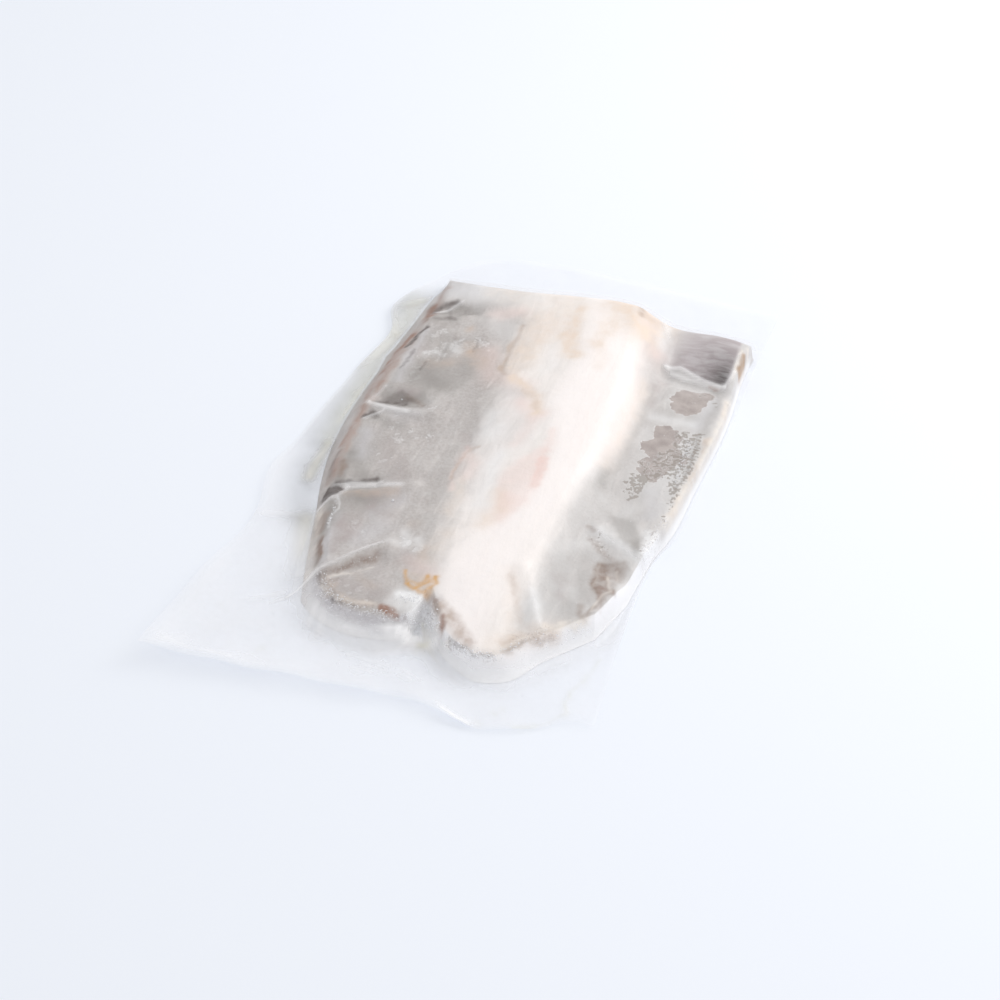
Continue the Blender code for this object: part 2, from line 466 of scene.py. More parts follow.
def scaled(tree, value, factor, plus=0.0, **settings):
    """A value times a factor, with another one added."""
    inputs = {0: value, 1: factor, 2: plus}
    return add(tree, "ShaderNodeMath", inputs, operation="MULTIPLY_ADD", **settings)[0]


def stepped(tree, value, low, high):
    """A value spread so that it goes from 0 to 1 between the low and the high one."""
    return add(tree, "ShaderNodeMapRange", {"Value": value, 1: low, 2: high})["Result"]


def layered(tree, colour, *layers):
    """A colour under these layers, each a colour and the shares from 0 to 1 that it shows by."""
    for over, share, *further in layers:
        for factor in further:
            share = scaled(tree, share, factor)
        colour = add(tree, "ShaderNodeMix", {0: share, 6: colour, 7: over}, data_type="RGBA")[2]
    return colour


def bumped(tree, shader, height, strength, depth):
    """Gives a shader the bumps of this height, strength and depth in metres."""
    inputs = {"Height": height, "Strength": strength, "Distance": depth}
    tree.links.new(add(tree, "ShaderNodeBump", inputs)["Normal"], shader.inputs["Normal"])


def group_of(name, inputs, outputs):
    """A new node group of numbers at some places, with its inputs and outputs for its own nodes."""
    group = bpy.data.node_groups.new(name, "ShaderNodeTree")
    for label in inputs:
        kind = "NodeSocketVector" if label == "Places" else "NodeSocketFloat"
        group.interface.new_socket(name=label, in_out="INPUT", socket_type=kind)
    for label in outputs:
        group.interface.new_socket(name=label, in_out="OUTPUT", socket_type="NodeSocketFloat")
    return group, group.nodes.new("NodeGroupInput").outputs, group.nodes.new("NodeGroupOutput").inputs


def cloud(group, given, **inputs):
    """The noise of a node group at its given places and in its given size."""
    scale = add(group, "ShaderNodeMath", {0: 1.0, 1: given["Size"]}, operation="DIVIDE")[0]
    return add(group, "ShaderNodeTexNoise", {"Vector": given["Places"], "Scale": scale, **inputs})["Fac"]


# A mottling from 0 to 1, in patches of a size in metres.
mottle_group, given, shown = group_of(
    "mottle", ("Places", "Size", "Low", "High", "Detail", "Twist"), ("Mottle",))
patches = cloud(mottle_group, given, Detail=given["Detail"], Distortion=given["Twist"])
mottle_group.links.new(stepped(mottle_group, patches, given["Low"], given["High"]), shown["Mottle"])

# The broken edge of frost that a soft mark gets round its patch, only where the mark shows.
MARK_STEP = (0.03, 0.15)
HALO_STEP = (0.40, 0.48)
PATCH_STEP = (0.47, 0.55)
NOISE_DETAIL, NOISE_MIDDLE = 4.0, 0.5
broken_edge, given, shown = group_of(
    "broken_edge", ("Places", "Mark", "Size", "Break"), ("Patch", "Outline"))
ragged = scaled(broken_edge, cloud(broken_edge, given, Detail=NOISE_DETAIL), 1.0, -NOISE_MIDDLE)
ragged = scaled(broken_edge, ragged, given["Break"], given["Mark"])
near = stepped(broken_edge, given["Mark"], *MARK_STEP)
patch = scaled(broken_edge, near, stepped(broken_edge, ragged, *PATCH_STEP))
halo = scaled(broken_edge, near, stepped(broken_edge, ragged, *HALO_STEP))
broken_edge.links.new(patch, shown["Patch"])
broken_edge.links.new(scaled(broken_edge, patch, -1.0, halo), shown["Outline"])


def mottle(tree, places, size, low, high, detail=3.0, twist=0.0):
    """A mottling from 0 to 1 between these values of a noise, in patches of this size in metres."""
    inputs = {"Places": places, "Size": size, "Low": low, "High": high, "Detail": detail, "Twist": twist}
    return add(tree, "ShaderNodeGroup", inputs, node_tree=mottle_group)["Mottle"]


RIGHT_FLANK_LIGHT = (0.60, 0.585, 0.58, 1)
RIGHT_FLANK_DARK = (0.52, 0.495, 0.485, 1)
LEFT_FLANK_LIGHT = (0.495, 0.465, 0.45, 1)
LEFT_FLANK_DARK = (0.40, 0.365, 0.35, 1)
LEFT_FLANK_STAIN = (0.36, 0.31, 0.295, 1)
LINING_COLOUR = (0.87, 0.825, 0.795, 1)
LINING_SHADE = (0.76, 0.705, 0.675, 1)
FAT_COLOUR = (0.955, 0.90, 0.885, 1)
FAT_WARM = (0.93, 0.86, 0.825, 1)
FROST_COLOUR = (0.86, 0.865, 0.88, 1)
WET_COLOUR = (0.33, 0.28, 0.265, 1)
WET_LIGHT = (0.44, 0.385, 0.365, 1)
LACE_COLOUR = (0.27, 0.235, 0.205, 1)
NET_COLOUR = (0.66, 0.655, 0.67, 1)
CRACK_COLOUR = (0.26, 0.235, 0.225, 1)
FLECK_COLOUR = (0.25, 0.20, 0.185, 1)
CORNER_MAUVE = (0.50, 0.44, 0.455, 1)
CORNER_SHADE_COLOUR = (0.065, 0.05, 0.05, 1)
GLINT_COLOUR = (1, 1, 1, 1)

# The borders of the lining and of the fat, as points of (y, x), and how soft they
# are. The right border of the fat is softer still towards its front and its back.
LINING_LEFT = (
    (102, -22), (92, -18), (78, -13), (60, -12), (50, -11), (40, -12), (30, -10), (20, -8),
    (0, -8), (-20, -8), (-35, -6), (-50, -4), (-62, 0), (-75, 4), (-100, 10),
)
FAT_LEFT = (
    (102, 10), (97, 12), (85, 16), (60, 19), (45, 16), (30, 15), (10, 23), (-10, 25), (-25, 18),
    (-38, 12), (-45, 9), (-60, 7), (-75, 8), (-85, 12), (-100, 20),
)
FAT_RIGHT = (
    (102, 27), (96, 31), (90, 33), (84, 36), (75, 40), (60, 44), (45, 47), (20, 47.5), (5, 45), (-10, 41.5),
    (-25, 38.5), (-45, 36), (-60, 33), (-80, 31), (-100, 30),
)
LINING_SOFT = (-4, 14)
LINING_END_X = (36, 44)
FAT_LEFT_SOFT = (-6, 6)
FAT_RIGHT_SOFT, FAT_FRONT_SOFTER, FAT_BACK_SOFTER = 3.4, 7, 5
FAT_FRONT_Y, FAT_BACK_Y = (-60, 15), (50, 80)
# The left flank's colour ends under the lining, and fades at the back.
LEFT_END_X, LEFT_FADE_Y, LEFT_FADE = (-14, 10), (86, 92), 0.8

# The fold along the rolled corner, as points of (x, y), and the x where the corner's
# colour comes in and goes out: a mauve tone with painted shade on the roll. The shade deepens
# from the back left to the right and to the front, by this much a millimetre, and a painted
# shadow is darkest in a hollow.
CORNER_FOLD = ((50, 74.6), (56, 75.4), (61, 73.4), (67, 71.6), (76, 70.2))
CORNER_START_X, CORNER_END_X, CORNER_FOLD_SOFT = (44, 60), (75.5, 77.4), (-0.3, 0.9)
CORNER_STRENGTH, CORNER_DEEPER_RIGHT, CORNER_DEEPER_FRONT = 0.66, 0.016, 0.015
CORNER_BACK_LEFT = (50, 96)
HOLLOW_X, HOLLOW_Y, HOLLOW_WIDTH, HOLLOW_LENGTH, HOLLOW_STRENGTH = 74, 75, 10, 12, 1.1

PIGMENTS = {}
# How far in the step of a mark begins when its edge is fully crisp.
CRISPEST = 0.45


def pigment(name, colour, grain, depth, crispness, *marks):
    """The next pigment to lay on: its colour, the mottling that breaks it up and how deeply, how
    crisp its edge is, and its marks."""
    PIGMENTS[name] = (colour, grain, depth, crispness, marks)


pigment(
    "lilac", (0.58, 0.575, 0.61, 1), "coarse", 0.3, 0.0,
    (2.4, 0.6, (-49.5, 66), (-50.5, 48), (-49, 33)),
    (5, 0.25, (-42, 12), (-36, 13)),
    (3.5, 0.7, (-49, -2), (-47, -16)),
    (6, 0.5, (-48, 97), (-38, 97)),
    (3, 0.4, (-22, -34), (-30, -45)),
    (4, 0.5, (74, 62), (73, 45)),
    (3.5, 0.4, (66, 0), (70, -12)),
    (3, 0.5, (-42, -50), (-41, -60), (-38, -74)),
    (5, 0.4, (-24, -50), (-30, -60)),
    (9, 0.12, (14, -74), (24, -92)),
    (5, 0.22, (-2, 38), (4, 22), (3, -2), (2, -22)),
    (5, 0.16, (12, 20), (12, 6)),
)
pigment(
    "shade", (0.255, 0.235, 0.22, 1), "coarse", 0.3, 0.0,
    (3, 0.42, (-45, 45), (-36, 47), (-26, 49), (-23, 42), (-27, 32), (-42, 33), (-45, 45)),
    (5, 0.25, (-40, 40), (-31, 35)),
    (5, 0.25, (-27, 54), (-22, 45)),
    (2, 0.58, (-49, 75), (-47, 81), (-42, 86), (-38, 86), (-37, 80), (-41, 76), (-49, 75)),
    (3, 0.3, (-36, 85), (-28, 82)),
    (4, 0.6, (-45, -47), (-43, -54)),
    (2.5, 0.6, (-49, -54), (-48, -58)),
    (6, 0.2, (-36, -32), (-34, -48)),
    (5, 0.28, (-46, 61), (-37, 57)),
    (5, 0.28, (-38, 48), (-36, 35)),
    (3, 0.35, (-51, 38), (-51, 24)),
    (3, 0.4, (-52, 3), (-51, -14)),
    (4, 0.38, (-46, -20), (-42, -25)),
    (5, 0.38, (-41, -36), (-34, -39)),
    (6, 0.2, (36, 98), (41, 86), (44, 74)),
    (8, 0.15, (24, 98), (42, 94)),
    (5, 0.12, (30, 86), (37, 83)),
    (2.6, 0.16, (42.5, 64), (44, 40), (44, 8)),
    (3, 0.6, (-48, 8), (-42, 6), (-38, 7)),
    (2.6, 0.75, (-51, 17), (-45, 26), (-40, 25), (-41, 16.5), (-51, 17)),
    (3, 0.35, (-37, 27), (-36, 16)),
    (5, 0.14, (-12, 30), (-12, 4), (-11, -30), (-11, -44)),
    (3, 0.65, (-50.5, -16), (-50, -29)),
    (6, 0.14, (-42, -6), (-36, -18)),
    (2.2, 0.35, (-47, -46), (-45.5, -54), (-44.5, -61)),
    (5, 0.3, (-38, 64), (-28, 61)),
    (4, 0.3, (-45, 40), (-44, 33)),
    (4, 0.25, (-12, 52), (-6, 38), (4, 36)),
    (5, 0.2, (-44, -10), (-44, -24)),
    (4, 0.2, (-29, -21), (-26, -26)),
    (6, 0.4, (-40, -40), (-32, -38)),
    (5, 0.25, (-26, -86), (-12, -88)),
    (1.8, 0.52, (57, -19), (64, -19), (69, -27), (72.5, -35), (66, -31), (57, -19)),
    (2.2, 0.45, (69, -29), (71.5, -34)),
    (1.8, 0.35, (50, 60), (50.5, 40), (50, 10), (48, -4)),
    (3, 0.3, (47, 2), (47, -8)),
    (5, 0.2, (60, 2), (66, -13)),
    (4, 0.28, (58, 47), (70, 48)),
    (6, 0.12, (47, -48), (47, -68)),
    (3, 0.35, (54, -42), (56, -54), (60, -64)),
    (3.5, 0.35, (55, -68), (58, -74)),
    (2.5, 0.4, (73, 70), (76, 64), (76, 56)),
    (2, 0.4, (75.5, 52), (75.5, 40)),
    (2.2, 0.35, (75, 34), (75, 16)),
)
pigment(
    "mauve", (0.385, 0.325, 0.32, 1), "patchy", 0.6, 0.1,
    (4, 0.45, (-38, -6), (-35, -16), (-31, -13)),
    (4, 0.4, (-50, 52), (-46, 55)),
    (5, 0.35, (-28, -20), (-24, -44)),
    (2.5, 0.5, (-46, 27), (-40, 28)),
    (4, 0.6, (-33, -36), (-31, -42)),
    (2.5, 0.7, (-38, -50), (-34, -49), (-33, -58), (-36, -61), (-39, -56), (-38, -50)),
    (2.5, 0.6, (-37, -63), (-35.5, -69)),
    (4, 0.3, (-23, 60), (-18, 46)),
    (4.5, 0.5, (-27, -84), (-10, -86)),
    (4, 0.35, (-20, -66), (-14, -76)),
    (5, 0.4, (-9, -62), (-1, -68)),
    (2.5, 0.45, (51, 66), (51, 50)),
    (2.5, 0.55, (10, -83), (20, -91), (28, -98)),
    (3, 0.4, (-12, 8), (-8, 2)),
    (3, 0.35, (48, -56), (52, -66)),
)
pigment(
    "pink", (0.85, 0.64, 0.59, 1), "coarse", 0.4, 0.0,
    (1.6, 1.1, (24, -3), (25.2, -9), (24.8, -17)),
    (2.4, 0.48, (22, 2), (25, -10), (24, -26), (18, -37), (14, -26), (12, -14), (16, -4), (22, 2)),
    (4, 0.25, (15, -26), (17, -38)),
    (3.5, 0.34, (-6, -4), (-2, -8), (-3, -15)),
    (1.2, 0.35, (-8.5, 2), (-8.5, -16), (-6, -24)),
    (4, 0.55, (4, 30), (13, 24)),
    (5, 0.4, (-20, 60), (-14, 44)),
    (5, 0.35, (-6, 44), (2, 40)),
    (5, 0.4, (40, 96), (46, 78)),
    (1.8, 0.6, (35.5, 92), (38, 85)),
    (4, 0.4, (-24, 84), (-15, 88)),
    # This broad one is a painted shade on the fat ridge's right slope, which faces the lamp.
    (9, 0.14, (40, 78), (42, 14)),
    (2, 0.3, (22, 14), (24, 2)),
    (4, 0.35, (-6, -66), (2, -70)),
    (3, 0.3, (12, 20), (10, 6)),
)
pigment(
    "peach", (0.80, 0.67, 0.57, 1), "patchy", 0.5, 0.0,
    (3.2, 0.85, (9, 92), (9, 80), (11, 70), (13, 63), (17, 62)),
    (3, 0.9, (9, 72), (15, 64)),
    (2.6, 0.95, (30, 102), (33, 96), (35, 91)),
    (4, 0.5, (26, 97), (34, 90), (37, 84)),
    (2.4, 1.1, (-5, 45), (3, 39), (9, 33), (13, 25)),
    (6, 0.35, (-30, 99), (-12, 92), (-4, 78)),
    (3, 0.5, (-10, 74), (-8, 52)),
    (8, 0.4, (2, 90), (-2, 60)),
    (8, 0.85, (24, 99), (36, 97), (42, 92)),
    (7, 0.35, (26, 86), (37, 82)),
    (4, 0.5, (24, 84), (22, 72)),
    (2.5, 0.35, (46, 58), (47, 30), (46, 4)),
    (3, 0.35, (-4, -19), (-2, -28), (-3, -36)),
    (4, 0.6, (12, -24), (16, -32), (13, -40)),
    (6, 0.35, (-30, 102), (4, 102)),
    (3, 0.5, (36, 102), (48, 99)),
    (4, 0.3, (-2, 68), (-4, 50)),
    (3, 0.22, (31, -62), (36, -76), (40, -90)),
    (5, 0.45, (38, -96), (44, -90), (52, -82)),
    (3, 0.4, (24, 70), (28, 56)),
    (4, 0.28, (0, -48), (-1, -64)),
)
pigment(
    "tan", (0.50, 0.39, 0.32, 1), "patchy", 0.6, 0.1,
    (1.3, 0.85, (-11.5, 78), (-12, 62), (-11, 51)),
    (0.9, 0.6, (-4, 3), (-7, 1), (-8.6, -6), (-8.5, -17)),
    (1.8, 0.3, (2, 38), (8, 33), (11, 28)),
    (1.6, 1, (-11, 50), (-9, 48)),
    (5, 0.62, (-27, 57), (-21, 52)),
    (3.5, 0.45, (-40, 46), (-32, 50)),
    (3, 0.4, (34, 98), (38, 96)),
    (1.8, 0.8, (-32, 72)),
    (2.2, 0.6, (-29, 63), (-26, 58)),
    (3, 0.35, (-13, -46)),
    (2.2, 0.6, (-5, -56), (-3, -61)),
    (2.4, 0.6, (-43, -38), (-34, -35.5), (-26, -31)),
    (2.4, 0.6, (-34, -82), (-30, -86)),
    (2, 0.6, (-31, -89), (-22, -91), (-12, -91)),
    (2.6, 0.75, (12, -85), (20, -91), (27, -98)),
    (3, 0.6, (40, -95), (47, -87), (53, -83)),
    (1.6, 0.4, (32, -64), (37, -74), (44, -84)),
    (1.4, 0.8, (32.5, 101), (33.5, 95)),
    (2.5, 0.35, (-24, -78), (-16, -82)),
    (1.5, 1.6, (80, 87.5), (80.2, 83), (79.5, 81)),
    (1.3, 0.8, (78.6, 38), (78.2, 30)),
    (1.3, 0.8, (77.8, 20), (77.2, 12)),
    (1.2, 0.7, (76.6, 2), (76, -8)),
    (1.3, 0.6, (79.6, 62), (79.8, 54)),
)
pigment(
    "band", (0.40, 0.30, 0.265, 1), "patchy", 0.55, 0.2,
    (3, 0.9, (-52, 96), (-52.5, 84), (-53, 74)),
    (3.4, 1.2, (-54.5, 66), (-57, 40), (-57.5, 26)),
    (2.7, 0.9, (-57, 22), (-56.2, 6), (-55.6, -8), (-54.2, -18), (-53.4, -30)),
    (1.8, 0.5, (-54.5, 44), (-55, 20), (-55, 0), (-54, -14)),
    (2.2, 1.2, (-48.8, -49.5), (-47.6, -57)),
    (1.6, 0.7, (-45, -62), (-41.5, -74)),
)
pigment(
    "umber", (0.25, 0.18, 0.145, 1), "patchy", 0.45, 0.1,
    (1.9, 0.8, (59.3, -43), (67, -41), (67.5, -48), (65, -47), (61.5, -50), (63, -58), (60, -52),
     (58.5, -46), (59.3, -43)),
    (1.8, 0.85, (59, -44), (61.5, -50), (61.8, -55)),
    (1.5, 0.6, (66, -51), (67, -56)),
    (1.3, 1, (63.5, -52), (65, -61)),
    (1.2, 0.7, (67, -56), (66, -63)),
    (1.2, 0.95, (64.5, -66), (62, -71.5)),
    (1.7, 0.75, (59, -67.5), (60, -71)),
    (1.7, 0.85, (-36, -80.5), (-28, -73.5), (-20, -65.5)),
    (2, 1.15, (-48.2, -49.5), (-46.4, -57)),
    (1.5, 0.6, (-44.5, -62), (-41, -75)),
    (1.4, 0.9, (-44, -63), (-42, -69), (-40, -75.5)),
    (1.1, 0.65, (5.5, -79.5), (9, -84), (12, -87.5)),
    (1, 0.75, (50, -28), (52, -28.5)),
    (1.6, 0.6, (53, -33), (57, -36.5), (62, -39)),
    (1, 0.45, (78.6, 36), (78.4, 20), (77.4, 6)),
    (1.1, 0.75, (-55, 88), (-53.5, 80), (-52, 73)),
    (1, 0.45, (40, -98), (47, -90), (53, -84)),
    (1.3, 1.2, (80.2, 87), (80.3, 84), (79.6, 81)),
    (1.3, 0.6, (-29, -82), (-33, -84)),
    (1.4, 0.6, (-54.5, -24), (-54, -30)),
    (1.6, 0.9, (-51, -21), (-50, -28)),
    (1.6, 0.6, (-42, 24.5), (-38, 24), (-35, 22)),
)
pigment(
    "rust", (0.26, 0.115, 0.065, 1), "patchy", 0.45, 0.2,
    (1.5, 1.4, (-9, -91.4), (-2.6, -92.3)),
    (1.2, 0.4, (4.8, -79), (8, -83)),
    (1.4, 1, (14.2, -89.5), (16, -93.5)),
    (1.7, 1, (-55, 65), (-56.5, 58), (-57.5, 52)),
    (1.5, 0.7, (-58, 46), (-58.5, 38)),
    (1.4, 0.5, (-58, 26), (-57.5, 16)),
    (1.3, 0.3, (-57, 0), (-56, -12)),
    (1.4, 0.6, (-55, 36), (-55.5, 28)),
    (1.4, 0.35, (-56, 12), (-56, 4)),
    (1.4, 0.35, (-54.5, -20), (-53.5, -26)),
    (2, 0.95, (-54.5, 86), (-53, 76)),
    (1.2, 0.6, (-43.5, -64), (-41, -71)),
    (0.8, 0.8, (70.5, 70.3), (74, 69.8)),
    (1.6, 0.35, (64, -56), (66, -66)),
)
pigment(
    "dark", (0.055, 0.032, 0.024, 1), "patchy", 0.3, 0.25,
    (1.9, 0.75, (-51.5, 82.5), (-48, 85.5), (-43.5, 88.5)),
    (1.2, 0.4, (-46, 84), (-43.5, 80), (-43, 76)),
    (1.1, 0.3, (-39, 85), (-39, 78)),
    (1.4, 0.4, (-49, 74), (-41, 75.5)),
    (1.1, 1, (-49.8, 69), (-52.2, 62), (-53.6, 55)),
    (2, 0.44, (-51.5, 16.5), (-50.5, 21), (-45, 25.5), (-42, 24), (-42, 17), (-51.5, 16.5)),
    (1.4, 0.3, (-40, 24), (-37, 23)),
    (1.8, 0.16, (-51, 18), (-46, 21), (-43, 22)),
    (0.8, 0.3, (-49.5, 15), (-48.5, 20)),
    (0.7, 0.3, (-46.5, 15), (-45.5, 21)),
    (0.6, 0.3, (-42.6, 15.5), (-41.4, 21)),
    (0.6, 0.25, (-38.6, 15.5), (-37, 21)),
    (1.6, 0.45, (-52.5, 11), (-49.5, 8)),
    (1.4, 0.95, (-54, 6.5), (-50, 10.5)),
    (1.2, 0.9, (-50, -32), (-43, -28.5), (-36, -25.5)),
    (1.3, 1.6, (-51.6, -34.8), (-47.2, -33.8), (-46, -36), (-46.8, -39.4), (-51, -40.6), (-52.2, -38),
     (-51.6, -34.8)),
    (1.3, 0.2, (-48.5, -47), (-46.5, -57), (-44.5, -63)),
    (1.3, 0.45, (-43.8, -64), (-42, -69), (-40.2, -76)),
    (1.1, 0.2, (-35, -79.5), (-28, -73.5)),
    (1, 0.38, (-35, 66), (-37.5, 58), (-38, 50)),
    (0.6, 0.38, (-27, 66), (-25.5, 57)),
    (0.9, 0.5, (-42, 46), (-43, 41)),
    (0.8, 0.55, (-50, 52), (-50.5, 40)),
    (1.2, 0.45, (-56, -14), (-55, -28)),
    # These three are painted shade on the rolled corner, towards its hollow and along its fold.
    (1.5, 1, (73.6, 73), (73.8, 83)),
    (2, 0.5, (71, 75), (72, 82)),
    (1.5, 0.8, (66, 74.6), (73, 73.4)),
    (0.8, 0.6, (20, -97), (26, -100.3)),
    (0.8, 0.55, (27, -100.6), (31, -102), (37, -100.5)),
    (0.8, 0.55, (-28, -91.5), (-18, -93)),
    (1.1, 0.5, (-37, -81), (-33, -87), (-28, -91.5)),
    (0.9, 0.45, (74.5, 40), (75.4, 22), (74.4, 4)),
)
pigment(
    "cream", (0.80, 0.74, 0.68, 1), "patchy", 0.6, 0.0,
    (1.9, 0.75, (79.5, 64), (80.5, 46), (79, 20), (77.5, 4), (75.5, -14)),
    (0.6, 0.8, (77.8, 90), (77.5, 84), (77.6, 76)),
    (0.9, 0.85, (80, 92.5), (81.3, 90), (81.4, 84), (80.4, 76)),
    (0.4, 0.25, (59, -42), (58.5, -46), (60, -50), (61.5, -56)),
    (0.6, 0.65, (63, -48), (65, -53), (66.5, -57), (64.5, -62), (64, -68)),
    (0.6, 0.4, (66, -45), (67, -49)),
    (1.2, 0.9, (63.5, -71), (58, -76.5), (50, -83)),
    (1, 0.55, (46, -89), (41, -95), (37, -99)),
    (0.9, 0.75, (-33, -81), (-30, -78.5), (-26, -77.5)),
    (0.8, 0.55, (-24, -75), (-20, -71)),
    (0.9, 0.7, (-34, -86), (-29, -90)),
    (0.9, 0.55, (-26, -90.5), (-20, -91), (-12, -90.5)),
    (1.2, 0.9, (12, -91), (15, -98), (20, -98.5)),
    (2.4, 0.85, (-51.5, -46), (-49, -58), (-45.5, -70), (-42, -79)),
)
pigment(
    "amber", (0.60, 0.32, 0.08, 1), "patchy", 0.5, 0.0,
    (0.7, 0.9, (-7, -70.5), (-5.5, -75), (-3, -77.5)),
    (0.7, 0.6, (-4, -75.3), (0, -76.2), (4, -73.8)),
    (0.9, 0.8, (4.6, -71.5), (5.6, -75), (4.4, -80)),
    (1.2, 0.26, (1.5, -72), (5, -71.5), (6, -77), (4, -80), (0, -79), (1.5, -72)),
    (0.7, 0.8, (1.5, -72), (2.8, -75), (0.8, -78)),
    (0.9, 0.8, (-4, -77), (1, -79.4), (4, -80.5)),
    (2.6, 0.2, (-3, -73), (1, -74)),
    (1.4, 0.4, (79.9, 86.5), (80.2, 84), (79.6, 81)),
)
pigment(
    "frost", (0.85, 0.855, 0.87, 1), "fine", 0.35, 0.0,
    (2.4, 1.2, (-5, -83), (0, -82.5), (4, -84.5)),
    (3, 0.5, (-6, -87), (4, -88)),
    (8, 0.45, (-36, 98), (-14, 97)),
    (0.6, 0.8, (4.5, -85), (8, -92)),
    (0.6, 0.8, (2, -89), (6.5, -95.5)),
    (0.8, 0.7, (9.5, -91), (11, -97)),
    (0.6, 0.6, (-8, -97), (2, -95)),
    (2, 0.45, (-15, -51), (-12, -55)),
    (1.8, 0.45, (-9, -53), (-6, -56)),
    (2.2, 0.35, (-18, -57), (-12, -58.5)),
    (6, 0.28, (-24, 79), (-14, 72)),
    (2, 0.6, (72, -22), (73.5, -32)),
    (0.5, 0.55, (-45, -42), (-43.5, -46.5), (-44.5, -50), (-43, -57)),
    (2.6, 0.32, (-34.5, 61), (-32, 56)),
    (1.8, 0.25, (-45, 50.5), (-42, 53), (-39.5, 53.5)),
    (3, 0.35, (42, -74), (46, -86)),
    (2, 0.45, (-45, -31.5), (-36, -29), (-26, -28)),
    (4, 0.3, (4, 66), (8, 54)),
    (4, 0.5, (-5, 22), (-3, 10), (0, 14)),
    (3.5, 0.5, (6, -2), (8, -30)),
    (3, 0.6, (45, 96), (47, 84)),
    (1.6, 0.6, (75, -22), (73.5, -34)),
    (2, 0.55, (54, -28), (72, -36.5)),
    (1.6, 0.45, (41, -68), (49, -81)),
    (2.5, 0.4, (54, 43), (70, 44)),
    (2, 0.7, (14, -97), (10, -98)),
)
SPECKLES = (
    (1, 0.15, (-36, -80.5), (-28, -74), (-21, -67)),
    (2, 0.45, (-35, -84), (-30, -90), (-20, -93.5), (-6, -94), (2, -92)),
    (3.5, 0.4, (6, -92), (12, -95)),
    (2.5, 0.5, (7, -83), (9, -90)),
    (1.4, 0.5, (20, -98), (30, -102.5), (38, -100.5)),
    (2.2, 0.35, (42, -92), (52, -83)),
    (1.6, 0.6, (74, -22), (72, -34)),
    (1.6, 0.4, (53, -32), (60, -38)),
)
# Where the frost is broken into wet specks, and where it lies as a cracked crust.
LACE = (
    (1.6, 0.52, (67, 36), (75, 40), (76, 20), (75, 0), (73, 2), (70, 10), (64, 10), (62, 20),
     (67, 28), (67, 36)),
    (1.5, 0.64, (57, 6), (61, 7), (62, 2), (61.5, -3), (59.5, -6), (57.5, -3), (56.5, 2), (57, 6)),
    (2, 0.5, (57, 16), (60, 11), (63, 7)),
    (1.6, 0.44, (74.5, -2), (74, -14)),
    (2, 0.48, (68, 62), (74, 64), (75, 58)),
    (1.5, 0.4, (55, -30), (58, -35), (62, -38)),
)
CRUST = (
    (5, 0.52, (-46, 66), (-38, 60), (-31, 62)),
    (4, 0.52, (-46, 52), (-38, 51), (-32, 57)),
    (3, 0.45, (-47, 42), (-43, 36)),
    (4, 0.42, (-26, 66), (-20, 62)),
    (6, 0.36, (-44, 8), (-36, 0), (-38, -14)),
    (5, 0.36, (-30, 24), (-26, 6)),
    (5, 0.4, (-34, -50), (-24, -62)),
    (4, 0.44, (-14, -54), (-6, -58)),
    (4, 0.42, (-26, -84), (-10, -86)),
    (3, 0.48, (72, -20), (73, -34)),
    (4, 0.55, (3, -90), (10, -96)),
)
WET_MARKS = (
    (1.9, 0.8, (59, 59), (61, 63), (67, 64), (71, 66), (73, 64), (71, 59), (70, 52), (64, 49),
     (60, 51), (59, 59)),
    (1.9, 0.84, (58, 36), (60, 38), (65, 37), (67, 33), (67, 27), (70, 25), (73, 23), (69, 18),
     (66, 12), (64, 7), (62, 9), (59, 10), (58, 15), (61, 20), (57, 23), (56, 26), (60, 30), (58, 36)),
)

# The frost on the sides: a violet grey under the left lobe and in the notch,
# and nearly white everywhere else at the front and on the right.
VIOLET_FROST = (0.52, 0.50, 0.53, 1)
WHITE_FROST = (0.87, 0.87, 0.90, 1)
FOOT_FROST = (0.86, 0.865, 0.89, 1)
VIOLET_SIDE = (
    (6, 1, (-36, -84), (-26, -93), (-9, -96), (3, -93)),
    (4, 0.15, (6, -88), (12, -92), (17, -98)),
)
WHITE_SIDE = (
    (4, 0.6, (4, -89), (7, -83), (12, -91), (17, -98)),
    (4, 0.6, (6, -92), (13, -98)),
    (6, 1.4, (24, -101), (31, -105), (41, -101), (52, -87), (67, -70), (73, -50), (76, -30)),
)

# Where on a side the frost comes in, as shares of the way down it, and where that at
# its foot ends.
VIOLET_DOWN, WHITE_DOWN, FOOT_DOWN = (0.0, 0.3), (0.0, 0.15), (0.35, 0.75)
FOOT_STRENGTH, FOOT_END_Y = 0.85, (94, 97)
# The swings that make painted outlines uneven: (size, reach, seed for x, seed for y).
OUTLINE_SWINGS = ((7, 1.1, 11.5, 51.5), (2.2, 0.7, 21.5, 61.5))
DRY_ROUGHNESS, WET_ROUGHNESS, FLESH_SHINE = 0.55, 0.3, 0.3
FLESH_BUMP, FLESH_BUMP_DEPTH = 0.2, 0.0004

belly_material, tree, shader = material_of("frosted_flesh", RIGHT_FLANK_LIGHT, DRY_ROUGHNESS, FLESH_SHINE)
places = add(tree, "ShaderNodeTexCoord", {})["Object"]


def stretched(turn, scale):
    """The places of a pattern that is drawn out along a line turned by these degrees."""
    inputs = {"Vector": places, "Rotation": (0, 0, math.radians(turn)), "Scale": scale}
    return add(tree, "ShaderNodeMapping", inputs)["Vector"]


def frayed(mark, size, fray):
    """The patch and the outline of a painted mark with a broken edge."""
    inputs = {"Places": places, "Mark": painted(tree, mark), "Size": size, "Break": fray}
    return add(tree, "ShaderNodeGroup", inputs, node_tree=broken_edge)


